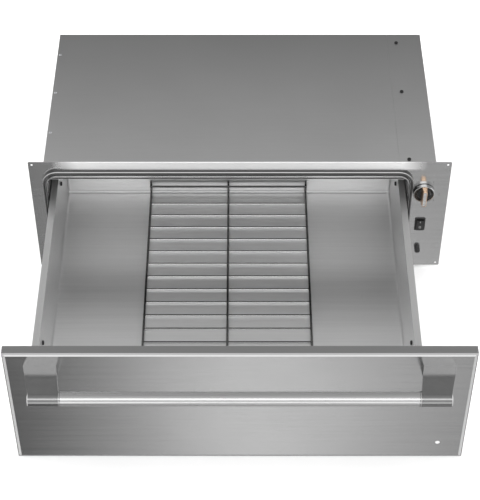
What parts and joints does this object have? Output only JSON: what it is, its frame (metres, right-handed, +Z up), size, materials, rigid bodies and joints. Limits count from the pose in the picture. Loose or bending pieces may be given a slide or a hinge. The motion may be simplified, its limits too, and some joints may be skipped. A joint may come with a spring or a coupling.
{
  "type": "warming drawer",
  "caption": "Built-in warming drawer, standing open: steel pan with a wire rack on telescopic slides, bar handle, and a knob, rocker switch and lamp on the face flange.",
  "frame": {"origin": "centre of the four screw holes of the face flange, on the flange's front face", "axes": "+X to the right of someone facing the drawer, +Y back into the cabinet, +Z up"},
  "size_m": [0.7556, 1.1049, 0.2754],
  "materials": {
    "satin_stainless": "brushed",
    "cast_stainless": "satin",
    "coated_sheet": "satin",
    "inner_steel": "plain",
    "chrome": "polished",
    "grip_metal": "satin",
    "black_plastic": "gloss",
    "seal_rubber": "satin",
    "blanket": "fibrous",
    "element_sheath": "oxidised",
    "dark_screw": "black",
    "rivet": "plain",
    "amber_lens": "gloss",
    "clear_lens": "clear"
  },
  "bodies": {
    "chassis": {"bay_cover": "coated_sheet", "bay_rail": "inner_steel", "casing_shell": "coated_sheet", "cavity_liner": "inner_steel", "cord_gland": "black_plastic", "cover_rivets": "rivet", "cover_screws": "dark_screw", "door_seal": "seal_rubber", "element_clips": "inner_steel", "element_pins": "inner_steel", "element_plate": "inner_steel", "face_flange": "satin_stainless", "heating_element": "element_sheath", "insulation_bottom": "blanket", "insulation_top": "blanket", "lamp_body": "black_plastic", "lamp_lens": "amber_lens", "lamp_nut": "black_plastic", "rear_panel": "coated_sheet", "rear_screws": "dark_screw", "slide_outer_left": "inner_steel", "slide_outer_right": "inner_steel", "switch_housing": "black_plastic", "terminal_block": "black_plastic", "terminal_screws": "inner_steel", "thermal_cutout": "black_plastic", "thermostat_body": "black_plastic", "thermostat_nut": "inner_steel", "top_cover": "coated_sheet"},
    "drawer": {"drawer_pan": "satin_stainless", "pan_screws": "dark_screw", "door_skin": "satin_stainless", "door_inner": "inner_steel", "control_pocket": "black_plastic", "light_window": "clear_lens", "door_insulation": "blanket", "handle_bar": "satin_stainless", "handle_screws": "dark_screw", "handle_post_left": "cast_stainless", "handle_post_right": "cast_stainless", "slide_inner_left": "inner_steel", "slide_inner_right": "inner_steel"},
    "slide_left": {"slide_middle_left": "inner_steel", "ball_cages_left": "chrome"},
    "slide_right": {"slide_middle_right": "inner_steel", "ball_cages_right": "chrome"},
    "knob": {"knob_shaft": "inner_steel", "knob_skirt": "black_plastic", "knob_ring": "chrome", "knob_grip": "grip_metal"},
    "rocker": {"rocker_key": "black_plastic"},
    "rack": {"wire_rack": "chrome"}
  },
  "joints": [
    {"name": "drawer_slide", "type": "slide", "parent": "chassis", "child": "drawer", "axis": [0, -1, 0], "range_m": [-0.4131, 0]},
    {"name": "left_slide", "type": "slide", "parent": "chassis", "child": "slide_left", "axis": [0, -1, 0], "range_m": [-0.20655, 0]},
    {"name": "right_slide", "type": "slide", "parent": "chassis", "child": "slide_right", "axis": [0, -1, 0], "range_m": [-0.20655, 0]},
    {"name": "rack_tip", "type": "hinge", "parent": "drawer", "child": "rack", "pos_m": [-0.0223, 0.1488, -0.05835], "axis": [-1, 0, 0], "range_deg": [0, 14]},
    {"name": "knob_turn", "type": "hinge", "parent": "chassis", "child": "knob", "pos_m": [0.333, 0, 0.06065], "axis": [0, 1, 0], "range_deg": [0, 290]},
    {"name": "rocker_throw", "type": "hinge", "parent": "chassis", "child": "rocker", "pos_m": [0.333, 0.003, -0.02205], "axis": [1, 0, 0], "range_deg": [0, 16]}
  ],
  "couplings": [
    {"joint": "left_slide", "follows": "drawer_slide", "ratio": 0.5},
    {"joint": "right_slide", "follows": "drawer_slide", "ratio": 0.5}
  ]
}
